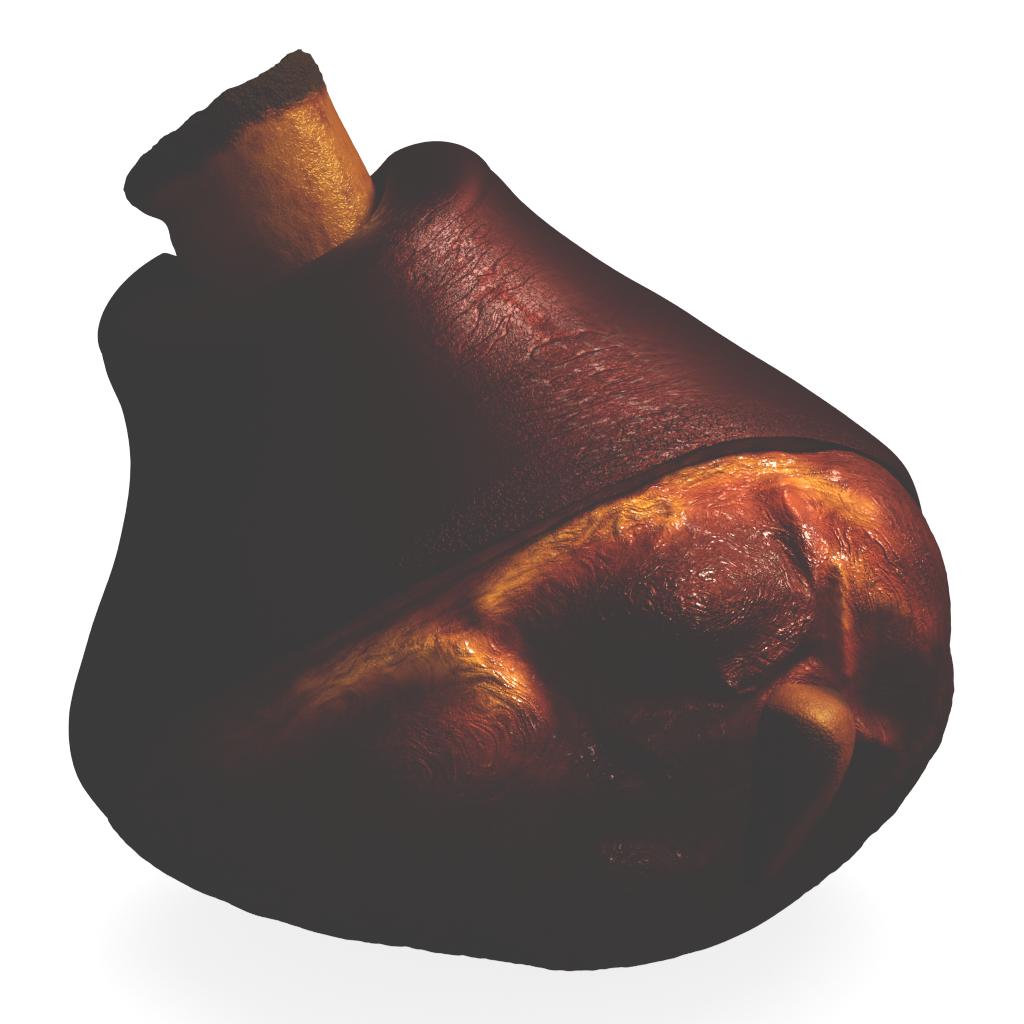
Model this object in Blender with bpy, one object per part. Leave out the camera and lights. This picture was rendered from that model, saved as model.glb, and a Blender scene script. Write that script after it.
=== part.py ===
"""Smoked pork knuckle with its rind, standing on the cut face: a short sleeve of rind with a rolled collar
round the sawn shank bone, the meat bulging out below the rind, and a joint bone at the cut end.

Everything is worked out in the leg's own frame, in mm: "right" and "front" lie across the leg, and "depth"
is the distance down the leg from the neck. One empty leans that frame in the world."""

import bmesh
import bpy
import numpy as np
from math import cos, radians, sin
from mathutils import Vector

MM = 0.001

# How the leg leans, and where the middle of its neck is above the floor.
LEAN_LEFT = 28.2
LEAN_BACK = 20.0
NECK = (-34.99, 24.32, 107.0)

# How far the outside of the rind reaches at each depth: left, right, front and back.
RIND_REACH = (
    (0.0, 33.4, 30.2, 32.0, 33.0),
    (5.0, 34.8, 33.0, 33.5, 34.5),
    (12.0, 35.6, 35.1, 35.5, 37.0),
    (20.0, 38.6, 38.6, 38.5, 40.0),
    (30.0, 46.3, 43.9, 43.5, 45.0),
    (40.0, 56.9, 50.0, 50.0, 51.0),
    (50.0, 65.5, 55.5, 56.0, 56.5),
    (58.0, 68.4, 60.0, 60.0, 60.0),
    (66.0, 67.6, 64.2, 62.0, 62.5),
    (76.0, 64.5, 68.2, 62.5, 64.0),
    (88.0, 56.5, 66.3, 60.0, 62.0),
    (100.0, 46.0, 63.0, 54.0, 57.0),
)

# The same for the meat, below the rind's edge and closing over the cut end.
MEAT_REACH = (
    (40.0, 54.0, 47.0, 45.0, 48.0),
    (50.0, 62.0, 53.0, 51.0, 54.0),
    (58.0, 66.5, 57.5, 54.0, 58.0),
    (66.0, 67.8, 62.4, 55.5, 61.0),
    (76.0, 65.0, 66.6, 56.0, 62.5),
    (88.0, 56.2, 65.4, 55.5, 62.0),
    (98.0, 46.6, 62.8, 53.0, 58.5),
    (108.0, 33.3, 60.0, 46.5, 53.0),
    (116.0, 23.0, 54.2, 38.5, 46.0),
    (122.0, 14.5, 45.0, 29.5, 37.0),
    (126.5, 3.0, 31.0, 17.0, 24.0),
    (129.0, -13.5, 13.5, 0.0, 0.0),
)

# Collar: the rolled top of the rind round the bone. The crest stands up at the sides and dips at the front.
COLLAR_INSIDE = 20.0
COLLAR_OFFSET = 1.6
COLLAR_ROLL = 9.0
CREST_FRONT = -5.6
CREST_BACK = 3.0
CREST_LEFT = 7.2
CREST_RIGHT = 4.0

# The collar's inside wall meets the bone at these depths, at angles round the leg.
SEAM_INSIDE = 17.0
SEAM_DEPTHS = ((-180.0, 3.0), (-90.0, 1.0), (-35.0, 5.6), (0.0, 6.8), (40.0, 6.8), (90.0, 4.0), (180.0, 3.0))

# Rind edge: the depth where the rind stops, at angles round the leg (0 front, 90 right), and its thickness.
RIND_EDGE = (
    (-180.0, 82.0), (-150.0, 77.0), (-120.0, 72.0), (-90.0, 67.5), (-70.0, 59.5), (-35.0, 57.5), (10.0, 57.0),
    (32.0, 58.0), (52.0, 61.5), (66.0, 68.5), (78.0, 79.0), (90.0, 92.0), (105.0, 98.0), (125.0, 96.0),
    (150.0, 89.0), (180.0, 82.0),
)
RIND_THICK = 3.2
EDGE_GROOVE = 1.2

# Muscles: middle (right, front, depth), half lengths (along, across, through) and turn in the front plane.
MUSCLES = (
    (24.0, 31.0, 79.0, 27.0, 14.5, 29.5, 15.0),
    (30.0, 32.5, 78.5, 17.0, 11.5, 31.5, 15.0),
    (-19.0, 27.8, 83.0, 30.0, 20.5, 35.3, 3.0),
    (-36.0, 22.0, 80.0, 22.0, 16.0, 32.0, 2.0),
    (49.0, 20.0, 87.0, 17.0, 24.0, 22.0, 14.0),
    (-3.0, 25.0, 107.0, 23.0, 11.0, 21.0, 25.0),
)
MUSCLE_BLEND = 5.0

# The ray that finds the meat's surface starts here.
HEART = (3.0, 0.0, 80.0)

# Shank bone: sawn top, taper, and how far it runs down inside the meat.
BONE_TOP_DEPTH = -23.6
BONE_TOP_TILT = 1.9
# The sawn rim stands out on the left: how far, at which angle, over what half angle, down to what share.
BONE_FLARE = 2.0
BONE_FLARE_ANGLE = -80.0
BONE_FLARE_WIDTH = 40.0
BONE_FLARE_SHARE = 0.12
BONE_END_DEPTH = 86.0
BONE_PROFILE = (
    (-24.0, 17.0), (-14.0, 16.5), (0.0, 16.2), (10.0, 15.6), (26.0, 13.8), (48.0, 13.2), (68.0, 14.6), (86.0, 15.0),
)
BONE_FRONT_SHARE = 0.94
FIT_GAP = 0.3

# Joint bone, a drop: right, front and depth of its two ends, half width, half reach through, the way it faces,
# and how its width gathers near the top and blunts its ends.
JOINT_TOP = (38.1, 44.0, 98.3)
JOINT_FOOT = (16.3, 35.0, 122.4)
JOINT_HALF_WIDTH = 8.4
JOINT_HALF_REACH = 12.5
JOINT_OUTWARD = (0.30, 1.0, 0.0)
JOINT_TOP_HEAVY = 2.06
JOINT_BLUNT = 0.7
JOINT_RINGS = 14
JOINT_AROUND = 20

AROUND = 80
FRONT_DENSER = 0.35
COLLAR_RINGS = 6
SLEEVE_RINGS = 11
MEAT_RINGS = 25
BONE_AROUND = 36


def clear_scene():
    for thing in list(bpy.data.objects):
        bpy.data.objects.remove(thing, do_unlink=True)


def smooth_through(points, x):
    """A smooth curve through the points: each stretch is a cubic whose end slopes come from its neighbours."""
    px, py = np.array(points, float).T
    slope = np.gradient(py, px)
    i = np.clip(np.searchsorted(px, x) - 1, 0, len(px) - 2)
    width = px[i + 1] - px[i]
    t = np.clip((x - px[i]) / width, 0, 1)
    rise = py[i] + (py[i + 1] - py[i]) * (3 * t**2 - 2 * t**3)
    bend = (t - 2 * t**2 + t**3) * slope[i] + (t**3 - t**2) * slope[i + 1]
    return rise + bend * width


def ease(low, high, x):
    """0 below low, 1 above high, and an S-curve between."""
    t = np.clip((x - low) / (high - low), 0, 1)
    return t * t * (3 - 2 * t)


def section(reach, depth):
    """Middle and half size of the oval section at a depth: right, front, half width, half front-to-back."""
    table = np.array(reach)
    left, right, front, back = (table[:, i] for i in range(1, 5))

    def at(values):
        return smooth_through(np.stack([table[:, 0], values], 1), depth)

    wide = np.sqrt(np.maximum(at(((left + right) / 2) ** 2), 1e-3))
    deep = np.sqrt(np.maximum(at(((front + back) / 2) ** 2), 1e-3))
    return at((right - left) / 2), at((front - back) / 2), wide, deep


def on_section(reach, angle, depth, inset):
    """Points on the oval section, moved in by the inset, as right, front and depth."""
    right, front, wide, deep = section(reach, depth)
    return np.stack([right + (wide - inset) * np.sin(angle), front + (deep - inset) * np.cos(angle), depth], -1)


def crest_depth(angle):
    """Depth of the collar's crest, through its front, right, back and left heights."""
    front, back = (1 + np.cos(angle)) / 2, (1 - np.cos(angle)) / 2
    side = np.where(np.sin(angle) > 0, CREST_RIGHT, CREST_LEFT)
    level = CREST_FRONT * front + CREST_BACK * back
    return -(level + (side - (CREST_FRONT + CREST_BACK) / 2) * np.sin(angle) ** 4)


def around_leg(points, angle):
    """A smooth curve through depths given at angles round the leg."""
    return smooth_through(points, (np.degrees(angle) + 180.0) % 360.0 - 180.0)


def blend_union(first, second, width):
    """The nearer of two distances, rounded where they are within the width of each other."""
    near = np.clip(0.5 + 0.5 * (second - first) / width, 0, 1)
    return second + (first - second) * near - width * near * (1 - near)


def meat_field(points):
    """Below 0 inside the meat: its oval sections joined with the muscles, each an ellipsoid."""
    right, front, wide, deep = section(MEAT_REACH, points[..., 2])
    across = np.hypot((points[..., 0] - right) / wide, (points[..., 1] - front) / deep)
    total = (across - 1) * np.minimum(wide, deep)
    total = np.maximum(total, points[..., 2] - MEAT_REACH[-1][0])
    for right, front, depth, along, over, through, turn in MUSCLES:
        away = points - np.array([right, front, depth])
        c, s = cos(radians(turn)), sin(radians(turn))
        local = np.stack([c * away[..., 0] + s * away[..., 2], away[..., 1], c * away[..., 2] - s * away[..., 0]], -1)
        size = np.array([along, through, over])
        near, steep = np.linalg.norm(local / size, axis=-1), np.linalg.norm(local / size**2, axis=-1)
        total = blend_union(total, near * (near - 1) / np.maximum(steep, 1e-6), MUSCLE_BLEND)
    return total


def meat_distance(direction):
    """Distance from the heart to the meat's surface along each direction, by halving."""
    near, far = np.full(direction.shape[:-1], 10.0), np.full(direction.shape[:-1], 110.0)
    for _ in range(26):
        middle = (near + far) / 2
        inside = meat_field(np.array(HEART) + direction * middle[..., None]) < 0
        near, far = np.where(inside, middle, near), np.where(inside, far, middle)
    return (near + far) / 2


def rind_rings():
    """Rings from the collar's inside, over its roll, down the rind and in under its edge."""
    angle = np.linspace(-np.pi, np.pi, AROUND, endpoint=False)
    angle = angle - FRONT_DENSER * np.sin(angle)
    crest, edge, seam = crest_depth(angle), around_leg(RIND_EDGE, angle), around_leg(SEAM_DEPTHS, angle)
    rings = []
    inside = COLLAR_INSIDE + COLLAR_OFFSET * np.sin(angle)
    for turn in (np.pi / 2, np.pi / 3, np.pi / 6):
        radius = inside - (inside - SEAM_INSIDE) * sin(turn)
        depth = crest + np.maximum(seam - crest, 1.0) * (1 - cos(turn))
        rings.append(np.stack([radius * np.sin(angle), radius * np.cos(angle), depth], -1))
    top = crest + COLLAR_ROLL
    outer = on_section(RIND_REACH, angle, top, 0.0)
    for turn in np.linspace(0, np.pi / 2, COLLAR_RINGS):
        depth = crest + COLLAR_ROLL * (1 - cos(turn))
        inner = np.stack([inside * np.sin(angle), inside * np.cos(angle), depth], -1)
        ring = inner + (outer - inner) * sin(turn)
        ring[:, 2] = depth
        rings.append(ring)
    for share in np.linspace(0, 1, SLEEVE_RINGS + 1)[1:]:
        rings.append(on_section(RIND_REACH, angle, top + (edge - 1.4 - top) * share, 0.0))
    rings.append(on_section(RIND_REACH, angle, edge - 0.3, RIND_THICK * 0.3))
    rings.append(on_section(RIND_REACH, angle, edge, RIND_THICK))
    return rings


def meat_rings(first):
    """Rings from under the rind's edge to the middle of the cut end, on the meat's surface."""
    heart = np.array(HEART)
    start = first - heart
    reach = np.linalg.norm(start, axis=1)
    start = start / reach[:, None]
    end = np.array([0.17, 0.0, 0.985])
    sweep = np.arccos(np.clip(start @ end, -1, 1))
    rings = []
    for share in np.linspace(0, 1, MEAT_RINGS + 2)[1:-1] ** 1.15:
        direction = np.sin((1 - share) * sweep)[:, None] * start + np.sin(share * sweep)[:, None] * end
        direction /= np.linalg.norm(direction, axis=1)[:, None]
        distance = meat_distance(direction)
        gone = share * sweep * reach
        distance = distance + (reach - EDGE_GROOVE - distance) * (1 - ease(0.0, 5.0, gone))
        rings.append(heart + direction * distance[:, None])
    return rings


def mesh_of_rings(name, rings):
    """A closed mesh: rings of points bridged by quads, with a centre point closing each end."""
    mesh = bmesh.new()
    loops = [[mesh.verts.new((p * MM, -f * MM, -d * MM)) for p, f, d in ring] for ring in rings]
    for above, below in zip(loops, loops[1:]):
        for i in range(len(above)):
            j = (i + 1) % len(above)
            mesh.faces.new((above[i], below[i], below[j], above[j]))
    for loop in (loops[0], loops[-1]):
        middle = mesh.verts.new(sum((v.co for v in loop), Vector()) / len(loop))
        for i in range(len(loop)):
            mesh.faces.new((loop[i], loop[(i + 1) % len(loop)], middle))
    bmesh.ops.recalc_face_normals(mesh, faces=mesh.faces)
    data = bpy.data.meshes.new(name)
    mesh.to_mesh(data)
    mesh.free()
    return data


def add_object(name, data, leg, material=None):
    thing = bpy.data.objects.new(name, data)
    bpy.context.scene.collection.objects.link(thing)
    thing.parent = leg
    data.shade_smooth()
    if material:
        data.materials.append(material)
    return thing


def finish(name, colour, roughness):
    material = bpy.data.materials.new(name)
    material.use_nodes = True
    shader = material.node_tree.nodes["Principled BSDF"]
    shader.inputs["Base Color"].default_value = (*colour, 1)
    shader.inputs["Roughness"].default_value = roughness
    return material


def leaning_leg():
    """The empty that carries the leg's frame."""
    leg = bpy.data.objects.new("leg_axis", None)
    bpy.context.scene.collection.objects.link(leg)
    leg.location = Vector(NECK) * MM
    leg.rotation_mode = "YXZ"
    leg.rotation_euler = (-radians(LEAN_BACK), -radians(LEAN_LEFT), 0)
    bpy.context.view_layer.update()
    return leg


def stand_on_floor(data, leg):
    """Cuts the mesh off flat at the floor."""
    to_leg = leg.matrix_world.inverted()
    floor_up = (to_leg.to_3x3() @ Vector((0, 0, 1))).normalized()
    mesh = bmesh.new()
    mesh.from_mesh(data)
    everything = mesh.verts[:] + mesh.edges[:] + mesh.faces[:]
    bmesh.ops.bisect_plane(mesh, geom=everything, dist=1e-6, plane_co=to_leg.translation, plane_no=floor_up,
                           clear_inner=True)
    rim = [edge for edge in mesh.edges if edge.is_boundary]
    bmesh.ops.contextual_create(mesh, geom=rim)
    bmesh.ops.recalc_face_normals(mesh, faces=mesh.faces)
    mesh.to_mesh(data)
    mesh.free()


def shank_rings(grow=0.0):
    """The shank bone: sawn flat and a little aslant at the top, and rounded off inside the meat."""
    angle = np.linspace(-np.pi, np.pi, BONE_AROUND, endpoint=False)
    rings = []
    for share in (0.0, 0.03, 0.08, 0.16, 0.24, 0.34, 0.46, 0.58, 0.7, 0.82, 0.92, 0.97, 1.0):
        top = BONE_TOP_DEPTH - grow - BONE_TOP_TILT * np.sin(angle)
        depth = top + (BONE_END_DEPTH + grow - top) * share
        radius = smooth_through(BONE_PROFILE, depth)
        around = np.exp(-((np.degrees(angle) - BONE_FLARE_ANGLE) / BONE_FLARE_WIDTH) ** 2)
        radius = radius + BONE_FLARE * around * ease(BONE_FLARE_SHARE, 0.0, share)
        end = max(0.0, (share - 0.9) / 0.1)
        radius = radius * np.sqrt(1 - 0.8 * end**2) + grow
        rings.append(np.stack([radius * np.sin(angle), radius * np.cos(angle) * BONE_FRONT_SHARE, depth], -1))
    return rings


def joint_rings(grow=0.0):
    """The joint bone: a drop, broad and rounded at its head, narrowing to a blunt foot, deeper than wide."""
    top, foot = np.array(JOINT_TOP), np.array(JOINT_FOOT)
    along = (foot - top) / np.linalg.norm(foot - top)
    top, foot = top - along * grow, foot + along * grow
    outward = np.array(JOINT_OUTWARD)
    outward -= along * (outward @ along)
    outward /= np.linalg.norm(outward)
    across = np.cross(along, outward)
    angle = np.linspace(0, 2 * np.pi, JOINT_AROUND, endpoint=False)
    rings = []
    for turn in np.linspace(0, np.pi, JOINT_RINGS + 2)[1:-1]:
        middle = top + (foot - top) * (turn / np.pi) ** JOINT_TOP_HEAVY
        size = sin(turn) ** JOINT_BLUNT
        wide, deep = JOINT_HALF_WIDTH * size + grow, JOINT_HALF_REACH * size + grow
        rings.append(middle + np.outer(np.cos(angle) * wide, across) + np.outer(np.sin(angle) * deep, outward))
    return rings


def socket(body, cutter):
    """Cuts the cutter's shape out of the body."""
    cutter.hide_render = True
    cutter.display_type = "WIRE"
    cut = body.modifiers.new("cut_" + cutter.name, "BOOLEAN")
    cut.object = cutter
    cut.operation = "DIFFERENCE"
    cut.solver = "EXACT"


def main():
    clear_scene()
    leg = leaning_leg()
    rind = finish("smoked_rind", (0.09, 0.02, 0.012), 0.35)
    bone = finish("smoked_bone", (0.55, 0.32, 0.12), 0.5)
    outside = rind_rings()
    knuckle = add_object("knuckle", mesh_of_rings("knuckle", outside + meat_rings(outside[-1])), leg, rind)
    stand_on_floor(knuckle.data, leg)
    for name, rings in (("shank_bone", shank_rings), ("joint_bone", joint_rings)):
        add_object(name, mesh_of_rings(name, rings()), leg, bone)
        cutter = add_object(name + "_socket", mesh_of_rings(name + "_socket", rings(FIT_GAP)), leg)
        socket(knuckle, cutter)


main()
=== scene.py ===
import bpy
import numpy as np
from math import cos, pi, radians, sin
from mathutils import Euler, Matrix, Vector


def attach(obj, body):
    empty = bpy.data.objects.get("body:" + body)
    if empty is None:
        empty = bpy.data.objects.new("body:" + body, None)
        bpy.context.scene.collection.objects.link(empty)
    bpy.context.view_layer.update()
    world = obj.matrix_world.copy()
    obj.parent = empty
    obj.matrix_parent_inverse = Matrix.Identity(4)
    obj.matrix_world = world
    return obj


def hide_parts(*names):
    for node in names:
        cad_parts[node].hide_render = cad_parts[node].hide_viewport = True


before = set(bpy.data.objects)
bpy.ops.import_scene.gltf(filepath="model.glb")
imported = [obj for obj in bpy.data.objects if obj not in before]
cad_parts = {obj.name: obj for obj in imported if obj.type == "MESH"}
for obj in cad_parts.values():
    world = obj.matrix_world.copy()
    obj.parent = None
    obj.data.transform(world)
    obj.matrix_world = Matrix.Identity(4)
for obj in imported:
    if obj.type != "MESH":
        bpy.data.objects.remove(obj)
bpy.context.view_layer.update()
mm = 0.001
print("frame loaded")

# The leg's own frame, in mm: right and front lie across the leg, depth runs down it from the neck.
legPose = {
    "leanLeft": 28.2,   # degrees
    "leanBack": 20.0,
    "neck": (-34.99, 24.32, 107.0),
}
lean = Euler((-radians(legPose["leanBack"]), -radians(legPose["leanLeft"]), 0), "YXZ")
legTurn = np.array(lean.to_matrix())
legFlip = np.array([1.0, -1.0, -1.0])   # front and depth run against the world's y and z
neck = np.array(legPose["neck"])


# A point of the leg's frame in the world: neck + turn times (right, -front, -depth).
def toWorld(points):
    return neck + (points * legFlip) @ legTurn.T


# A smooth curve through points: cubic stretches whose end slopes come from their neighbours.
def smoothThrough(points, x):
    px, py = np.array(points, float).T
    slope = np.gradient(py, px)
    i = np.clip(np.searchsorted(px, x) - 1, 0, len(px) - 2)
    width = px[i + 1] - px[i]
    t = np.clip((x - px[i]) / width, 0, 1)
    rise = py[i] + (py[i + 1] - py[i]) * (3 * t**2 - 2 * t**3)
    bend = (t - 2 * t**2 + t**3) * slope[i] + (t**3 - t**2) * slope[i + 1]
    return rise + bend * width


# 0 below low, 1 above high, an S-curve between.
def ease(low, high, x):
    t = np.clip((x - low) / (high - low), 0, 1)
    return t * t * (3 - 2 * t)


# Bell of height 1 and half width w.
def bell(x, w):
    return np.exp(-((x / w) ** 2))


# Large odd numbers that turn a corner of the noise grid into a random code.
noiseCodes = {
    "axes": (374761393, 668265263, 1103515245),
    "seed": 974711,
    "scramble": ((13, 1274126177), (15, 2246822519)),   # shift, factor
    "word": 0xFFFFFFFF,
    "slopeBits": 10,
}


# Gradient noise, about -1 to 1: random slopes at whole-number points, blended between the eight nearest.
def softNoise(points, seed=0):
    cell = np.floor(points).astype(np.int64)
    part = points - cell
    fade = part**3 * (part * (part * 6 - 15) + 10)
    bits = noiseCodes["slopeBits"]
    most = 2**bits - 1
    total = np.zeros(points.shape[:-1])
    for corner in np.ndindex(2, 2, 2):
        at = cell + corner
        code = sum(at[..., axis] * factor for axis, factor in enumerate(noiseCodes["axes"]))
        code = (code + seed * noiseCodes["seed"]) & noiseCodes["word"]
        for shift, factor in noiseCodes["scramble"]:
            code = ((code ^ (code >> shift)) * factor) & noiseCodes["word"]
        code ^= code >> 16
        away = part - corner
        weight = np.prod(np.where(corner, fade, 1 - fade), axis=-1)
        for axis in range(3):
            slope = ((code >> (bits * axis)) & most) / (most / 2) - 1
            total += weight * slope * away[..., axis]
    return total * 1.15


# Noise in octaves: each one twice as fine and rough times as high.
def cloudNoise(points, octaves=3, rough=0.5, seed=0):
    total, height, most = 0.0, 1.0, 0.0
    for octave in range(octaves):
        total = total + height * softNoise(points * 2.0**octave, seed + 17 * octave)
        most += height
        height *= rough
    return total / most


# Ridges where the noise passes through 0: 1 on the ridge line, falling to 0.
def ridgeNoise(points, sharp=3.0, seed=0):
    return np.exp(-np.abs(softNoise(points, seed)) * sharp)


# A shift for each point, in three directions: soft noise with a seed of its own for each.
def wobble(points, size, seeds):
    return np.stack([softNoise(points / size, seed) for seed in seeds], -1)


# Middle and half size of the oval section at a depth.
def section(reach, depth):
    table = np.array(reach)
    left, right, front, back = (table[:, i] for i in range(1, 5))

    def at(values):
        return smoothThrough(np.stack([table[:, 0], values], 1), depth)

    wide = np.sqrt(np.maximum(at(((left + right) / 2) ** 2), 1e-3))
    deep = np.sqrt(np.maximum(at(((front + back) / 2) ** 2), 1e-3))
    return at((right - left) / 2), at((front - back) / 2), wide, deep


# Points on that oval, moved in by the inset.
def onSection(reach, angle, depth, inset):
    right, front, wide, deep = section(reach, depth)
    across, outwards = (wide - inset) * np.sin(angle), (deep - inset) * np.cos(angle)
    return np.stack([right + across, front + outwards, depth], -1)


# A smooth curve through values given at angles round the leg.
def aroundLeg(points, angle):
    return smoothThrough(points, (np.degrees(angle) + 180.0) % 360.0 - 180.0)


# Depth of the collar's crest: it dips at the front and stands up at both sides.
def crestDepth(angle):
    crest = rindShape["crest"]
    level = crest["front"] * (1 + np.cos(angle)) / 2 + crest["back"] * (1 - np.cos(angle)) / 2
    side = np.where(np.sin(angle) > 0, crest["right"], crest["left"])
    return -(level + (side - (crest["front"] + crest["back"]) / 2) * np.sin(angle) ** 4)


# Steps round the leg, closer together at the front.
def anglesAround(count, denser):
    even = np.linspace(-pi, pi, count, endpoint=False)
    return even - denser * np.sin(even)


# A level ring of points round the leg's axis: (radius sin angle, radius cos angle, depth).
def levelRing(radius, angle, depth):
    return np.stack([radius * np.sin(angle), radius * np.cos(angle), depth], -1)


# Unit normals of a grid that is closed round its columns, from the cross product of its two slopes.
def gridNormals(grid):
    down = np.gradient(grid, axis=0)
    across = (np.roll(grid, -1, axis=1) - np.roll(grid, 1, axis=1)) / 2
    normal = np.cross(down, across)
    return normal / np.maximum(np.linalg.norm(normal, axis=-1, keepdims=True), 1e-9)


# Values laid end to end into one property of a mesh's list.
def fill(items, name, values, kind=np.float32):
    items.foreach_set(name, values.astype(kind).reshape(-1))


# A mesh of quads between neighbouring rows. The last row joins the first, or each end takes a middle point.
def meshFromGrid(name, grid, material, marks, wrapRows=False):
    rows, count = grid.shape[:2]
    points = grid.reshape(-1, 3)
    index = np.arange(rows * count).reshape(rows, count)
    below = np.roll(index, -1, axis=0) if wrapRows else index[1:]
    above = index if wrapRows else index[:-1]
    quads = np.stack([above, below, np.roll(below, -1, 1), np.roll(above, -1, 1)], -1).reshape(-1, 4)
    triangles = np.zeros((0, 3), int)
    if not wrapRows:
        points = np.vstack([points, grid[0].mean(0), grid[-1].mean(0)])
        first, last = index[0], index[-1]
        top = np.stack([np.full(count, rows * count), first, np.roll(first, -1)], -1)
        foot = np.stack([last, np.full(count, rows * count + 1), np.roll(last, -1)], -1)
        triangles = np.vstack([top, foot])
    mesh = bpy.data.meshes.new(name)
    corners = np.concatenate([quads.reshape(-1), triangles.reshape(-1)])
    sizes = np.concatenate([np.full(len(quads), 4), np.full(len(triangles), 3)])
    mesh.vertices.add(len(points))
    fill(mesh.vertices, "co", toWorld(points) * mm)
    mesh.loops.add(len(corners))
    fill(mesh.loops, "vertex_index", corners, np.int32)
    mesh.polygons.add(len(sizes))
    fill(mesh.polygons, "loop_start", np.concatenate([[0], np.cumsum(sizes)[:-1]]), np.int32)
    fill(mesh.polygons, "use_smooth", np.ones(len(sizes)), bool)
    mesh.update(calc_edges=True)
    leg = mesh.attributes.new("leg", "FLOAT_VECTOR", "POINT")   # where each point lies in the leg's frame
    fill(leg.data, "vector", points)
    for mark, values in marks.items():
        values = values.reshape(-1)
        if not wrapRows:
            values = np.concatenate([values, [values[0], values[-1]]])
        fill(mesh.attributes.new(mark, "FLOAT", "POINT").data, "value", values)
    if mesh.validate():
        print("note:", name, "had faces to repair")
    mesh.materials.append(material)
    piece = bpy.data.objects.new(name, mesh)
    bpy.context.scene.collection.objects.link(piece)
    return piece


# A new material with its node tree and its Principled shader.
def newMaterial(name):
    material = bpy.data.materials.new(name)
    material.use_nodes = True
    tree = material.node_tree
    return material, tree, tree.nodes["Principled BSDF"]


# Each input of a node given its value: a number, a tuple or another node's socket.
def feed(tree, made, inputs):
    for name, value in inputs.items():
        if isinstance(value, bpy.types.NodeSocket):
            tree.links.new(value, made.inputs[name])
        else:
            made.inputs[name].default_value = value


# A node with its inputs, and its settings such as operation or data_type.
def node(tree, kind, inputs=None, **settings):
    made = tree.nodes.new(kind)
    for key, value in settings.items():
        setattr(made, key, value)
    feed(tree, made, inputs or {})
    return made


# A mark kept on the mesh's points.
def attribute(tree, name, output="Fac"):
    return node(tree, "ShaderNodeAttribute", attribute_name=name).outputs[output]


# The leg's coordinates stretched by a scale: larger numbers make the pattern finer that way.
def legPattern(tree, scale=(1, 1, 1)):
    inputs = {"Vector": attribute(tree, "leg", "Vector"), "Scale": scale}
    return node(tree, "ShaderNodeMapping", inputs).outputs["Vector"]


# Cloudy noise from 0 to 1; scale counts its lumps per unit of the pattern.
def noise(tree, vector, scale, detail, rough, bend=0.0):
    inputs = {"Vector": vector, "Scale": scale, "Detail": detail, "Roughness": rough, "Distortion": bend}
    return node(tree, "ShaderNodeTexNoise", inputs).outputs["Fac"]


# Distance to the edge of irregular cells.
def cells(tree, vector, scale):
    made = node(tree, "ShaderNodeTexVoronoi", {"Vector": vector, "Scale": scale}, feature="DISTANCE_TO_EDGE")
    return made.outputs["Distance"]


# Values from low..high spread over toLow..toHigh.
def spread(tree, value, low, high, toLow=0.0, toHigh=1.0):
    inputs = {"Value": value, "From Min": low, "From Max": high, "To Min": toLow, "To Max": toHigh}
    return node(tree, "ShaderNodeMapRange", inputs, clamp=True).outputs["Result"]


# One Math node on two numbers or sockets.
def maths(tree, operation, first, second):
    return node(tree, "ShaderNodeMath", {0: first, 1: second}, operation=operation).outputs["Value"]


# Several sockets multiplied together.
def product(tree, first, *others):
    for other in others:
        first = maths(tree, "MULTIPLY", first, other)
    return first


# Two colours mixed; the colour sockets of the Mix node are 6 and 7, and its colour output is 2.
def mixColour(tree, factor, *colours):
    first, second = ((*colour, 1.0) if isinstance(colour, tuple) else colour for colour in colours)
    return node(tree, "ShaderNodeMix", {0: factor, 6: first, 7: second}, data_type="RGBA").outputs[2]


# Colours laid one over another on the first, each (where it shows, colour).
def layered(tree, tone, layers):
    for share, colour in layers:
        tone = mixColour(tree, share, tone, colour)
    return tone


# The leg's coordinates with the depth taken from a mark, each divided by its own size in mm.
def flowPattern(tree, name, across, along):
    split = node(tree, "ShaderNodeSeparateXYZ", {0: attribute(tree, "leg", "Vector")}).outputs
    joined = node(tree, "ShaderNodeCombineXYZ", {
        "X": maths(tree, "DIVIDE", split["X"], across),
        "Y": maths(tree, "DIVIDE", split["Y"], across),
        "Z": maths(tree, "DIVIDE", attribute(tree, name), along),
    })
    return joined.outputs[0]


# Winding ridges: 0 in the furrows, where the noise passes its middle, up to 1.
def worms(tree, vector, scale, width, bend):
    made = maths(tree, "SUBTRACT", noise(tree, vector, scale, 1.5, 0.5, bend), 0.5)
    return spread(tree, maths(tree, "ABSOLUTE", made, 0.0), 0.0, width)


# The same along a mark: sizes are mm across, mm along, width of the furrows, and how they bend.
def furrows(tree, name, sizes):
    across, along, width, bend = sizes
    return worms(tree, flowPattern(tree, name, across, along), 1.0, width, bend)


# Bumps laid one on another, for the surface and its glaze: each is (height, (strength, distance in mm)).
def giveBumps(tree, shader, layers):
    below = {}
    for height, (strength, distance) in layers:
        inputs = {"Height": height, "Strength": strength, "Distance": distance * mm}
        bump = node(tree, "ShaderNodeBump", inputs | below)
        below = {"Normal": bump.outputs["Normal"]}
    feed(tree, shader, below | {"Coat Normal": below["Normal"]})


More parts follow.
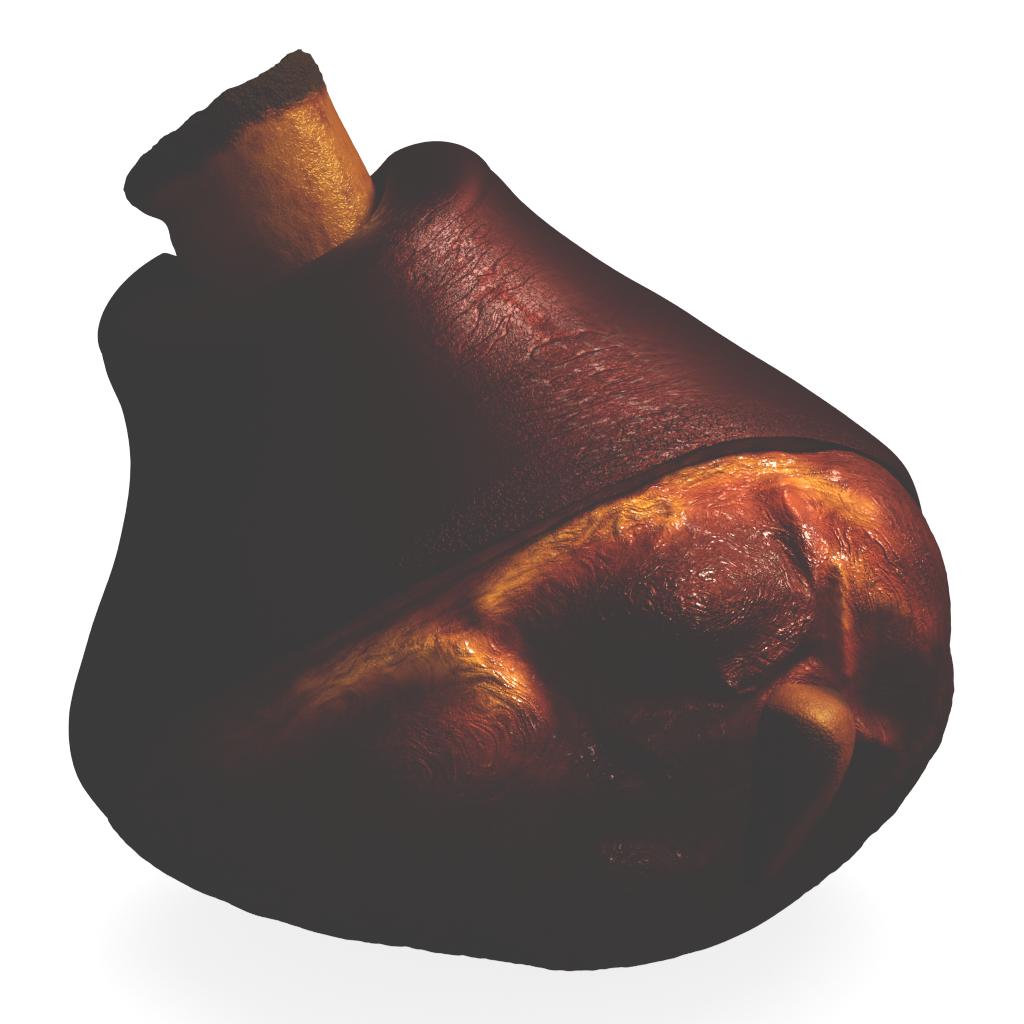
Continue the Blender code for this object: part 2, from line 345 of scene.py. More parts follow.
rindShape = {
    # depth: how far the outside reaches left, right, front and back
    "reach": (
        (0, 33.4, 30.2, 32, 33),
        (5, 34.8, 33, 33.5, 34.5),
        (12, 35.6, 35.1, 35.5, 37),
        (20, 38.6, 38.6, 38.5, 40),
        (30, 46.3, 43.9, 43.5, 45),
        (40, 56.9, 50, 50, 51),
        (50, 65.5, 55.5, 56, 56.5),
        (58, 68.4, 60, 60, 60),
        (66, 67.6, 64.2, 62, 62.5),
        (76, 64.5, 68.2, 62.5, 64),
        (88, 56.5, 66.3, 60, 62),
        (100, 46, 63, 54, 57),
    ),
    "collarInside": 20.0,
    "collarOffset": 1.6,
    "collarRoll": 9.0,
    "crest": {"front": -5.6, "back": 3, "left": 7.2, "right": 4},   # heights of the collar's crest
    "seamInside": 16.6,    # where the inside wall meets the bone
    "seamThick": 1.5,
    # angle round the leg (0 front, 90 right): depth of the seam
    "seam": ((-180, 3), (-90, 1), (-35, 5.6), (0, 6.8), (40, 6.8), (90, 4), (180, 3)),
    # angle round the leg: depth where the rind stops
    "edge": (
        (-180, 82), (-150, 77), (-120, 72), (-90, 67.5), (-70, 59.5), (-35, 57.5),
        (10, 57), (32, 58), (52, 61.5), (66, 68.5), (78, 79), (90, 92), (105, 98),
        (125, 96), (150, 89), (180, 82),
    ),
    "lipRadius": 0.62,
    "scallop": 0.6,
    "around": 384,
    "rows": (8, 22, 200, 10, 8),   # inside wall, roll, sleeve, lip, back of the rind
    "frontDenser": 0.48,
}

# Where the rind is creased and shiny, and where its colour is painted for light (painted light on the side
# the key light falls on, a painted lighter back), by angle round the leg in degrees and by depth in mm.
rindPlaces = {
    "crownAngle": 34.0,   # the side the key light falls on: more creased, and painted redder there (painted light)
    "crownWidth": 13.6,
    "low": (24.0, 42.0),  # between these depths the creased side turns, widens and fades
    "lowTurn": 5.0,
    "lowWiden": 4.0,
    "lowFade": 0.6,
    "sheenAngle": 35.0,
    "sheenWidth": 14.0,
    "sheenStrength": 1.5,
    "rear": (100.0, 140.0),   # from here round, the back is creased all over and painted a lighter red-brown, standing in for light that does not reach it (painted light)
    "rearCreased": 0.8,
    "rearShiny": 0.7,
    "bandAbove": 4.0,         # the specked band lies this far above the edge
    "bandWidth": 3.4,
    "bandAngle": 38.0,
    "bandSpread": 30.0,
    "neckBegins": (3.0, 12.0),
    "neckEnds": (42.0, 30.0),
}

# Folds in the rind's surface, in mm; round and down are their spacing round the leg and down it.
rindFolds = {
    "swell": {"size": 26.0, "height": 0.6},
    "creases": {"round": 10.0, "down": 5.2, "sharp": 7.0, "height": 0.189},
    "smallCreases": {"round": 4.2, "down": 2.1, "sharp": 5.0, "height": 0.05},
    "streaks": {"round": 5.5, "down": 1.25, "height": 0.33},
    "grain": {"size": 1.2, "height": 0.05},
    "creaseDepths": ((6.0, 14.0), (52.0, 30.0)),
    "streakDepths": (10.0, 40.0),
    "least": 0.1,   # the share of the creases that is left away from the creased side
}


# Levels that the creases follow, in mm: they climb to the right near the neck and fall near the edge.
def rindSlant(points):
    right, depth = points[..., 0], points[..., 2]
    warp = softNoise(points / 16.0, seed=5) * 1.6 + softNoise(points / 5.0, seed=6) * 0.35
    return depth + (0.22 - 0.42 * ease(18, 46, depth)) * right + warp


# Height of the rind: slow swells, creases where ridge noise on the slanting levels peaks, and streaks as
# deep as fine noise is far from 0, both fading away from the creased side.
def rindHeight(points, slant, creased):
    right, front, depth = points[..., 0], points[..., 1], points[..., 2]
    folds = rindFolds

    def slanting(fold):
        return np.stack([right / fold["round"], front / fold["round"], slant / fold["down"]], -1)

    begins, ends = folds["creaseDepths"]
    upper = ease(*begins, depth) * ease(*ends, depth)
    cuts = np.zeros(depth.shape)
    for name, seed in (("creases", 8), ("smallCreases", 9)):
        fold = folds[name]
        cuts += ridgeNoise(slanting(fold), fold["sharp"], seed) * fold["height"] * upper
    streaks = np.abs(cloudNoise(slanting(folds["streaks"]), 2, 0.6, seed=12)) * folds["streaks"]["height"]
    cuts += streaks * ease(*folds["streakDepths"], depth) * (1 - 0.5 * upper)
    swell = folds["swell"]["height"] * cloudNoise(points / folds["swell"]["size"], 2, seed=3)
    grain = folds["grain"]["height"] * cloudNoise(points / folds["grain"]["size"], 2, seed=15)
    return swell - cuts * (folds["least"] + (1 - folds["least"]) * creased) + grain


# The rind as a closed tube, row by row: up the inside wall on a quarter ellipse, over the crest on another,
# down the sleeve's ovals, round the lip on a half circle, and back up behind the sleeve.
def makeRind(material):
    shape, places = rindShape, rindPlaces
    angle = anglesAround(shape["around"], shape["frontDenser"])
    circle = np.stack([np.cos(angle), np.sin(angle), angle * 0], -1)
    crest, edge = crestDepth(angle), aroundLeg(shape["edge"], angle)
    edge = edge + shape["scallop"] * (softNoise(circle * 5.0, 31) + 0.5 * softNoise(circle * 19.0, 32))
    seam = aroundLeg(shape["seam"], angle)
    wall, roll, sleeve, lip, back = shape["rows"]
    inside = shape["collarInside"] + shape["collarOffset"] * np.sin(angle)
    rows = []
    for turn in np.linspace(pi / 2, 0, wall, endpoint=False):
        radius = inside - (inside - shape["seamInside"]) * sin(turn)
        rows.append(levelRing(radius, angle, crest + np.maximum(seam - crest, 1.0) * (1 - cos(turn))))
    top = crest + shape["collarRoll"]
    outer = onSection(shape["reach"], angle, top, 0.0)
    for turn in np.linspace(0, pi / 2, roll, endpoint=False):
        depth = crest + shape["collarRoll"] * (1 - cos(turn))
        inner = levelRing(inside, angle, depth)
        ring = inner + (outer - inner) * sin(turn)
        ring[:, 2] = depth
        rows.append(ring)
    radius = shape["lipRadius"]
    for share in np.linspace(0, 1, sleeve, endpoint=False):
        rows.append(onSection(shape["reach"], angle, top + (edge - radius - top) * share, 0.0))
    for turn in np.linspace(0, pi, lip, endpoint=False):
        depth = edge - radius + radius * sin(turn)
        rows.append(onSection(shape["reach"], angle, depth, radius * (1 - cos(turn))))
    hidden = len(rows)
    for share in np.linspace(0, 1, back) ** 0.8:
        depth = edge - radius + (seam + 3.0 - edge + radius) * share
        inset = 2 * radius + shape["seamThick"] * share
        ring = onSection(shape["reach"], angle, np.maximum(depth, 0.0), inset)
        ring[:, 2] = depth
        rows.append(ring)
    rows[-1] = levelRing(shape["seamInside"] + shape["seamThick"], angle, seam + 2.0)
    grid = np.array(rows)
    normal = gridNormals(grid)
    shown = np.ones(len(grid))
    shown[hidden:] = 0.0
    shown[: wall // 2] = np.linspace(0.2, 1.0, wall // 2)

    turned, depth = np.degrees(angle) * np.ones((len(grid), 1)), grid[..., 2]
    low = ease(*places["low"], depth)
    crownWidth = places["crownWidth"] + places["lowWiden"] * low
    crown = bell(turned - places["crownAngle"] - places["lowTurn"] * low, crownWidth)
    crown = crown * (1 - places["lowFade"] * low)
    sheen = places["sheenStrength"] * bell(turned - places["sheenAngle"], places["sheenWidth"])
    sheen = np.minimum(sheen, 1)
    rear = ease(*places["rear"], np.abs(turned))
    band = bell(depth - edge + places["bandAbove"], places["bandWidth"])
    band = band * bell(turned - places["bandAngle"], places["bandSpread"])
    # crown marks the side the key light falls on: its creases and glaze are real, its red colour is painted
    # light; rear marks the back, painted lighter in place of light
    marks = {
        "crown": np.maximum(crown, places["rearShiny"] * rear),
        "sheen": np.maximum(sheen, places["rearShiny"] * rear),
        "rear": rear,
        "slant": rindSlant(grid),
        "band": band,
        "upper": ease(*places["neckBegins"], depth) * ease(*places["neckEnds"], depth),
    }
    height = rindHeight(grid, marks["slant"], np.maximum(crown, places["rearCreased"] * rear))
    outwards = normal * np.sign((normal * (grid - [0, 0, 40.0])).sum(-1).mean())
    grid = grid + outwards * (height * shown[:, None])[..., None]
    piece = meshFromGrid("rind", grid, material, marks, wrapRows=True)
    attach(piece, "root")
    return piece


meatShape = {
    # depth: how far the outside reaches left, right, front and back
    "reach": (
        (40, 54, 47, 45, 48),
        (50, 62, 53, 51, 54),
        (58, 66.5, 57.5, 54, 58),
        (66, 67.8, 62.4, 55.5, 61),
        (76, 65, 66.6, 56, 62.5),
        (88, 56.2, 65.4, 55.5, 62),
        (98, 46.6, 62.8, 53, 58.5),
        (108, 33.3, 60, 46.5, 53),
        (116, 23, 54.2, 38.5, 46),
        (122, 14.5, 45, 29.5, 37),
        (126.5, 3, 31, 17, 24),
        (129, -13.5, 13.5, 0, 0),
    ),
    # muscles: middle (right, front, depth), half lengths (along, across, through), turn in the front plane
    "muscles": (
        (21, 31, 79, 24, 14, 29.5, 15),
        (25, 32.5, 79, 16.5, 12, 31.5, 15),
        (-19, 27.8, 83, 30, 20.5, 35.3, 3),
        (-36, 22, 80, 22, 16, 32, 2),
        (50, 19.5, 89, 16, 22, 22, 14),
        (-3, 25, 107, 23, 11, 21, 25),
    ),
    "blend": 5.0,
    "heart": (3, 0, 80),   # every ray to the surface starts here
    "search": (20, 90),      # the surface is looked for between these distances from the heart
    "halvings": 17,
    "foot": (0.17, 0, 0.985),  # the way to the middle of the cut end
    "underLip": 1.2,             # how far the meat starts above the rind's edge
    "groove": 0.2,
    "grooveWidth": 1.3,
    "floorBlend": 1.2,
    "around": 448,
    "rows": 218,
    "lowerDenser": 1.12,
    "frontDenser": 0.5,
    # rings towards the heart that close the top: share of the way out, lift
    "closing": ((0.5, 2), (0.9, 1.5)),
}

# Coloured places: path of (right, depth) in the front plane, half width, strength.
meatColours = {
    "glow": (
        (((-30, 63), (-12, 61), (8, 60.5), (24, 60.8), (38, 63), (47, 67), (53, 75), (54.5, 86)), 5.2, 1),
        (((-44, 64), (-33, 64), (-23, 62.5), (-15, 63), (-9, 66), (-5, 72), (-3, 80), (-1, 88)), 5, 1),
        (((18, 67), (30, 68), (40, 71)), 2.4, 0.3),
        (((50, 80), (50, 86), (46, 93), (43, 100)), 2.6, 1),
        (((52, 84), (53.5, 90), (56, 98)), 4.2, 1),
    ),
    "fat": (
        (((2, 63.4), (11.7, 61.4), (17.4, 61), (22.2, 61.2), (28, 62.6), (32, 65)), 2.2, 1),
        (((34, 60.6), (43.8, 63.6), (50, 67.6), (54, 73.4), (57.5, 79.6)), 1.7, 0.7),
        (((-27, 64), (-20, 63.5), (-12, 65), (-6, 70), (-3, 77)), 3.2, 1),
        (((2, 63.4), (11.7, 61.2), (20, 60.8)), 2, 0.6),
        (((50.6, 82), (50, 86), (46.6, 93)), 0.9, 0.6),
        (((53, 85), (53.2, 91), (55, 95)), 1.6, 0.35),
    ),
    # where the film is wet and wrinkled
    "wet": (
        (((19, 75), (28, 78.5), (37, 81)), 7, 1.2),
        (((30, 70), (38, 73), (43, 77)), 3, 1.2),
        (((14, 60), (22, 61), (31, 64), (29, 68)), 3.2, 1.2),
        (((12, 57.5), (28, 58.5), (42, 62), (51, 67.5), (56, 74)), 1.8, 1),
        (((43.5, 86), (41.3, 88.8), (36.5, 91.2), (31, 91.2), (27, 91.5)), 2.6, 1.2),
        (((48.4, 79), (47.8, 86)), 2, 1),
        (((52.5, 84), (53, 91), (56, 97), (60, 90)), 4.2, 1.2),
        (((-22, 60), (-9, 66), (-3.5, 74), (-2, 84), (6, 95)), 3.4, 1),
        (((-5, 107), (1, 112)), 4, 1.3),
        (((8, 114), (14, 99), (22, 97)), 2, 0.6),
    ),
}

# Ridges, tendons and lumps on the front: path of (right, depth), half width, height in mm.
meatRidges = {
    "edgeFat": (
        ((-52, 65), (-30, 61.5), (-10, 60.4), (8, 59.8), (22, 60), (36, 61.2), (48, 64.5), (57, 72)),
        1.4, 0.9,
    ),
    "yellowFat": (
        ((-0.5, 65), (3.3, 62.8), (11.7, 61.4), (17.4, 61), (22.2, 61.2), (28, 62.8), (32, 64.6)),
        2.2, 1.2,
    ),
    "fatLoop": (((23.5, 64), (25, 61.8), (29.5, 61.8), (32.2, 63.9), (31.4, 67), (27, 68)), 0.8, 0.6),
    "fatCurl": (((15, 60.6), (19.6, 60.2), (21.4, 61.8), (20, 63.6), (16.6, 63.8)), 0.7, 0.4),
    "upperFat": (((31, 60.8), (40.7, 63.4), (48.9, 67.4), (54.7, 73.4), (58.3, 79.6), (59, 87)), 2.6, 0.7),
    "muscleCrest": (
        ((-46, 71), (-36, 68), (-24, 65.5), (-14, 64.5), (-7, 68), (-3, 75), (-1, 83)), 4.2, 2.6,
    ),
    "besideMuscle": (((47.6, 71), (47.2, 77), (46.2, 84)), 2.6, 2.2),
    "tendon": (((50.2, 85), (47.2, 91.5), (43.6, 99)), 1.3, 1.8),
    "strap": (((43.5, 86), (41.3, 88.8), (36.5, 91.2), (31, 91.2), (27, 90.2)), 2.3, 2.4),
    "strapCurl": (((27, 90), (26.2, 92.4), (29.3, 94)), 0.9, 2.0),
    "kneeSkin": (((39.8, 109), (36, 112.5), (30, 116), (24, 119.4), (17.5, 122)), 1.5, 1.2),
    "smallKnob": (((42.0, 109.0), (42.6, 110.4)), 3.0, 3.4),
    "lumpLeft": (((-14.5, 99.6), (-11, 101)), 4.2, 1.2),
    "lumpMiddle": (((-2.5, 108.5), (1.5, 110)), 4.6, 1.6),
    "lumpRight": (((7.5, 114), (10.5, 115)), 4.0, 1.4),
    "bumpOne": (((11, 94), (12.4, 94.6)), 3.2, 1.2),
    "bumpTwo": (((21.4, 97.5), (23, 98)), 3.2, 1.2),
}
meatHollows = {
    "besideTendon": (((52.5, 97.5), (50, 102), (46, 107)), 3.2, 2.6),
    "underStrap": (((41, 94.2), (36, 95), (32, 95.6)), 1.4, 1.2),
    "muscleEnd": (((44.4, 77), (44.2, 80), (43.4, 85.5)), 0.8, 0.9),
    "musclesGroove": (((3, 75), (3.4, 81), (4.2, 87), (6, 93), (9, 98)), 2.6, 1.2),
}

# The skin of film over the meat; sizes and heights in mm.
meatFilm = {
    # ovals that the wrinkles ring: middle (right, depth), half sizes, turn
    "lobes": (
        (28, 78, 19, 10, 17),
        (-22, 82, 26, 13, 4),
        (54, 92, 6, 12, 10),
        (31, 108, 8, 12, 30),
    ),
    "edgeOffset": 9.0,
    "lobeBlend": 6.0,
    "lumps": {"size": 11.0, "height": 0.4},
    "wrinkles": {"across": 4.5, "down": 5.5, "flow": 1.25, "height": 0.55, "least": 0.35},
    "patches": 9.0,
    "crinkle": {"size": 1.3, "warpSize": 2.5, "warp": 1.2, "height": 0.14},
    "torn": {"size": 5.5, "height": 1.1, "depths": (96.0, 112.0)},   # the ragged cut end
}


# The nearer of two distances, rounded where they are close.
def blendUnion(first, second, width):
    near = np.clip(0.5 + 0.5 * (second - first) / width, 0, 1)
    return second + (first - second) * near - width * near * (1 - near)


# Below 0 inside the meat: its oval sections joined with the muscles, each an ellipsoid.
def meatField(points):
    right, front, wide, deep = section(meatShape["reach"], points[..., 2])
    across = np.hypot((points[..., 0] - right) / wide, (points[..., 1] - front) / deep)
    foot = meatShape["reach"][-1][0]
    total = np.maximum((across - 1) * np.minimum(wide, deep), points[..., 2] - foot)
    for right, front, depth, along, over, through, turn in meatShape["muscles"]:
        x, y, z = np.moveaxis(points - np.array([right, front, depth]), -1, 0)
        c, s = cos(radians(turn)), sin(radians(turn))
        local = np.stack([c * x + s * z, y, c * z - s * x], -1)
        size = np.array([along, through, over])
        near, steep = np.linalg.norm(local / size, axis=-1), np.linalg.norm(local / size**2, axis=-1)
        total = blendUnion(total, near * (near - 1) / np.maximum(steep, 1e-6), meatShape["blend"])
    return total


# Distance from the heart to the surface along each direction, by halving.
def meatDistance(direction):
    near, far = (np.full(direction.shape[:-1], limit) for limit in meatShape["search"])
    for _ in range(meatShape["halvings"]):
        middle = (near + far) / 2
        inside = meatField(np.array(meatShape["heart"]) + direction * middle[..., None]) < 0
        near, far = np.where(inside, middle, near), np.where(inside, far, middle)
    return (near + far) / 2


# Distance in the front plane from each point to a path of (right, depth) corners.
def pathDistance(points, path):
    best = np.full(points.shape[:-1], 1e9)
    flat = points[..., [0, 2]]
    for start, end in zip(np.array(path)[:-1], np.array(path)[1:]):
        along = end - start
        share = np.clip(((flat - start) @ along) / (along @ along), 0, 1)
        best = np.minimum(best, np.linalg.norm(flat - start - share[..., None] * along, axis=-1))
    return best


# How far outside an oval in the front plane: middle (right, depth), half sizes, turn; below 0 inside.
def ovalDistance(points, right, depth, along, over, turn):
    c, s = cos(radians(turn)), sin(radians(turn))
    x, y = points[..., 0] - right, points[..., 2] - depth
    return (np.hypot((c * x + s * y) / along, (c * y - s * x) / over) - 1) * min(along, over)


# Height of the ridges less the hollows, each a bell across its path, only on the front half.
def meatFeatures(points):
    wander = points + 0.8 * wobble(points, 6.0, (41, 42, 43))
    total = np.zeros(points.shape[:-1])
    for features, sign in ((meatRidges, 1), (meatHollows, -1)):
        for path, width, height in features.values():
            total += sign * height * bell(pathDistance(wander, path), width)
    return total * ease(6, 18, points[..., 1])


# Levels that ring each lobe and follow the rind's edge, in mm: the film's wrinkles run along them.
def meatFlow(points):
    turned = np.arctan2(points[..., 0], points[..., 1])
    flow = points[..., 2] - aroundLeg(rindShape["edge"], turned) - meatFilm["edgeOffset"]
    for lobe in meatFilm["lobes"]:
        flow = blendUnion(flow, ovalDistance(points, *lobe), meatFilm["lobeBlend"])
    return flow + 1.1 * softNoise(points / 4.0, 45) + 2.2 * softNoise(points / 10.0, 46)


# Height of the film: slow lumps, wrinkles as deep as noise along the flow is far from 0, fine crinkles
# everywhere and a torn, uneven cut end.
def meatRelief(points, flow):
    film = meatFilm
    wrinkles, crinkle, torn = film["wrinkles"], film["crinkle"], film["torn"]
    right, front, depth = points[..., 0], points[..., 1], points[..., 2]
    downwards = front / wrinkles["across"] + depth / wrinkles["down"]
    along = np.stack([right / wrinkles["across"], downwards, flow / wrinkles["flow"]], -1)
    patch = ease(-0.25, 0.35, softNoise(points / film["patches"], 58))
    patch = wrinkles["least"] + (1 - wrinkles["least"]) * patch
    height = film["lumps"]["height"] * cloudNoise(points / film["lumps"]["size"], 2, seed=55)
    height -= wrinkles["height"] * np.abs(cloudNoise(along, 2, 0.6, seed=57)) * patch
    warped = points + crinkle["warp"] * softNoise(points / crinkle["warpSize"], 59)[..., None]
    height += crinkle["height"] * cloudNoise(warped / crinkle["size"], 2, seed=60)
    cut = torn["height"] * cloudNoise(points / torn["size"], 3, seed=62)
    return height + cut * ease(*torn["depths"], depth)


# The meat from rays that swing from under the rind's edge to the foot, each as long as the distance to the
# joined muscles, with its relief added along the normal and its lowest points pressed flat on the floor.
def makeMeat(material):
    shape = meatShape
    angle = anglesAround(shape["around"], shape["frontDenser"])
    edge = aroundLeg(rindShape["edge"], angle)
    heart = np.array(shape["heart"])
    start = onSection(rindShape["reach"], angle, edge - shape["underLip"], 2 * rindShape["lipRadius"])
    start = start - heart
    reach = np.linalg.norm(start, axis=1)
    start = start / reach[:, None]
    end = np.array(shape["foot"]) / np.linalg.norm(shape["foot"])
    sweep = np.arccos(np.clip(start @ end, -1, 1))
    share = np.linspace(0, 1, shape["rows"] + 1)[:-1, None] ** shape["lowerDenser"]
    direction = np.sin((1 - share) * sweep)[..., None] * start + np.sin(share * sweep)[..., None] * end
    direction /= np.linalg.norm(direction, axis=-1, keepdims=True)
    distance = meatDistance(direction)
    gone = share * sweep * reach
    distance += (reach - shape["groove"] - distance) * (1 - ease(0.0, shape["grooveWidth"], gone))
    base = heart + direction * distance[..., None]
    normal = gridNormals(base)
    normal = normal * np.sign((normal * direction).sum(-1, keepdims=True))
    flow = meatFlow(base)
    height = (meatFeatures(base) + meatRelief(base, flow)) * ease(0.2, 1.6, gone)
    height *= ease(0, 0.25, 1 - share)
    base = base + normal * height[..., None]
    floorUp = legTurn[2] * legFlip           # the world's up, seen in the leg's frame
    above = base @ floorUp + neck[2]         # height over the floor
    soft = shape["floorBlend"]
    resting = np.where(above < -soft, -above, (soft - above) ** 2 / (4 * soft))
    base = base + floorUp * np.where(above < soft, resting, 0.0)[..., None]
    inner = [heart + (base[0] - heart) * k - np.array([0, 0, lift]) for k, lift in shape["closing"]]
    grid = np.concatenate([np.array(inner), base])
    wander = grid + 1.3 * wobble(grid, 5.0, (61, 62, 63))
    front = ease(0, 12, grid[..., 1])
    marks = {"flow": np.concatenate([flow[:1]] * len(inner) + [flow])}
    for name, spots in meatColours.items():
        mark = np.zeros(grid.shape[:2])
        for path, wide, strong in spots:
            mark = np.maximum(mark, strong * bell(pathDistance(wander, path), wide))
        marks[name] = mark * front
    piece = meshFromGrid("meat", grid, material, marks)
    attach(piece, "root")
    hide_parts("knuckle")
    return piece


shankShape = {
    "top": -24.0,
    "tilt": 1.5,
    "end": 86.0,
    # the knob on the left rim: distance below the sawn end, how far it stands out
    "knob": ((0, -1.6), (1.4, 0.4), (3, 2.1), (5.6, 2.5), (8, 1.6), (10.2, -0.3), (14, 0.2), (200, 0)),
    "knobAngle": -82.0,
    "knobWidth": 40.0,
    # depth: radius
    "profile": (
        (-24, 16.8), (-14, 16.2), (0, 16), (10, 15.6), (26, 13.8), (48, 13.2), (68, 14.6),
        (86, 15),
    ),
    "frontShare": 0.94,
    "rimRound": 1.1,
    "ragged": 1.5,     # how uneven the sawn outline is
    "raggedMost": (-1.6, 0.5),
    "sunken": 1.3,     # how far the spongy middle has shrunk below the hard ring
    "spongeEdge": (0.84, 0.76),
    "poreDepth": 0.55,
    "charDepths": (8.2, 5.0),   # the char fades out between these depths below the sawn end
    "smoked": 0.8,     # how far the left side, away from the key light, is painted brown: partly smoke, partly painted shade
    "around": 320,
}


# The shank bone: rings across the sawn face out to its ragged rim, then rings down the side whose radius is
# the profile plus the knob, with the face shrunk in the middle and pitted, and the rim burnt and beaded.
def makeShankBone(material):
    shape = shankShape
    angle = np.linspace(-pi, pi, shape["around"], endpoint=False)
    degrees = np.degrees(angle)
    circle = np.stack([np.cos(angle), np.sin(angle), angle * 0], -1)
    ragged = np.clip(shape["ragged"] * cloudNoise(circle * 3.2, 3, 0.62, seed=71), *shape["raggedMost"])
    knob = bell(degrees - shape["knobAngle"], shape["knobWidth"])
    tilt = shape["tilt"] * np.sin(angle)
    top = shape["top"] - tilt - ragged + 0.4
    rim = smoothThrough(shape["profile"], top) + knob * shape["knob"][0][1] - shape["rimRound"]

    def ring(wide, depth):
        return np.stack([wide * np.sin(angle), wide * np.cos(angle) * shape["frontShare"], depth], -1)

    grid = []
    for share in np.concatenate([np.linspace(0.05, 0.7, 12), np.linspace(0.74, 0.985, 11)]):
        depth = np.minimum(top, shape["top"] - tilt + 1.0) * share**2
        depth += (shape["top"] - share * tilt + 0.9) * (1 - share**2)
        grid.append(ring(share * rim, depth + shape["sunken"] * ease(0.86, 0.74, share)))
    face = len(grid)
    for share in np.concatenate([np.linspace(0, 0.42, 130), np.linspace(0.43, 0.97, 16), [0.985, 1.0]]):
        depth = top + (shape["end"] - top) * share
        below = depth - top
        wide = smoothThrough(shape["profile"], depth) + knob * smoothThrough(shape["knob"], below)
        wide = wide - shape["rimRound"] * bell(below, 1.3)
        grid.append(ring(wide * np.sqrt(1 - 0.75 * max(0.0, (share - 0.9) / 0.1) ** 2), depth))
    grid = np.array(grid)

    out = grid * np.array([1.0, 1.0, 0.0])
    out = out / np.maximum(np.linalg.norm(out, axis=-1, keepdims=True), 1e-6)
    below = grid[..., 2] - top
    wavy = 1.6 * cloudNoise(grid / 4.0, 2, seed=74) + 1.0 * softNoise(grid / 9.0, 73)
    char = ease(*shape["charDepths"], below + wavy)
    # Painted shade, partly smoke: the left side, away from the key light, turns brown; it is kept as the
    # glaze mark.
    smoked = shape["smoked"] * ease(0, -30, degrees + 6.0 * wavy) * ease(-170, -110, degrees)
    pebbles = 0.10 * cloudNoise(grid / 1.4, 2, seed=75) + 0.22 * cloudNoise(grid / 7.0, 2, seed=76)
    burnt = 0.75 * cloudNoise(grid / 3.2, 3, 0.6, seed=77) + 0.3 * ridgeNoise(grid / 2.4, 2.5, seed=78)
    side = np.ones((len(grid), 1))
    side[:face] = 0.25
    grid = grid + out * ((pebbles + char * burnt) * side)[..., None]
    pores = cloudNoise(grid[:face] / 1.1, 2, seed=79)
    grid[:face, :, 2] -= shape["poreDepth"] * pores
    char[:face] = 1.0
    sponge = np.zeros(grid.shape[:2])
    sponge[:face] = ease(*shape["spongeEdge"], np.linspace(0, 1, face))[:, None] * ease(-0.4, 0.3, pores)
    piece = meshFromGrid("shankBone", grid, material, {"char": char, "sponge": sponge, "glaze": smoked})
    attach(piece, "root")
    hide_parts("shank_bone")
    return piece


jointShape = {
    "top": (38.1, 44, 98.3),
    "foot": (16.3, 35, 122.4),
    "halfWidth": 8.4,
    "halfReach": 12.5,
    "outward": (0.30, 1.0, 0.0),
    # paths of (right, depth): the band painted as bare gold where the key light falls (painted light), the
    # ridge painted lighter red where it catches light (painted highlight), and where it is worn in
    "bare": ((32.5, 96.5), (35.5, 99), (38.4, 103), (40, 107.5)),
    "bareWidth": 2.7,
    "ridge": ((40, 108), (35.5, 112.6), (27, 116.6), (20, 121)),
    "ridgeWidth": 1.9,
    "worn": ((29, 101), (26, 107), (23, 112)),
    "wornWidth": 3.0,
    "wornDepth": 0.9,
    "topHeavy": 2.06,   # above 1 the widest place moves towards the top
    "blunt": 0.7,
    "around": 200,
    "rows": 170,
}


# A drop: rings along the line from top to foot, as wide as sin(turn)^blunt, bunched towards the top.
def makeJointBone(material):
    shape = jointShape
    top, foot = np.array(shape["top"]), np.array(shape["foot"])
    along = (foot - top) / np.linalg.norm(foot - top)
    outward = np.array(shape["outward"])
    outward = outward - along * (outward @ along)
    outward /= np.linalg.norm(outward)
    across = np.cross(along, outward)
    angle = np.linspace(0, 2 * pi, shape["around"], endpoint=False)
    turn = np.linspace(0, pi, shape["rows"] + 2)[1:-1, None]
    size = np.sin(turn) ** shape["blunt"]
    middle = top + (foot - top) * ((turn / pi) ** shape["topHeavy"])[..., None]
    wide, deep = shape["halfWidth"] * size, shape["halfReach"] * size
    grid = middle + (np.cos(angle) * wide)[..., None] * across + (np.sin(angle) * deep)[..., None] * outward
    normal = gridNormals(grid)
    normal = normal * np.sign((normal * (grid - middle)).sum(-1, keepdims=True))
    relief = 0.3 * cloudNoise(grid / 6.0, 2, seed=81) + 0.08 * cloudNoise(grid / 1.2, 2, seed=82)
    worn = bell(pathDistance(grid, shape["worn"]), shape["wornWidth"]) * ease(0.3, 0.8, np.sin(angle))
    grid = grid + normal * (relief - shape["wornDepth"] * worn)[..., None]
    wander = grid + 0.8 * cloudNoise(grid / 3.0, 2, seed=84)[..., None]
    # Painted light: gold shows only on the band where the key light falls and the ridge stays lighter where
    # it catches light; everywhere else char and glaze paint it dark (painted shade).
    bare = bell(pathDistance(wander, shape["bare"]), shape["bareWidth"])
    red = bell(pathDistance(grid, shape["ridge"]), shape["ridgeWidth"])
    marks = {
        "char": 0.1 + 0.75 * ease(0.8, 0.1, np.maximum(bare, 0.7 * red)),
        "sponge": np.zeros(bare.shape),
        "glaze": 0.3 + 0.7 * ease(0.75, 0.35, bare),
    }
    piece = meshFromGrid("jointBone", grid, material, marks)
    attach(piece, "root")
    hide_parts("joint_bone")
    return piece


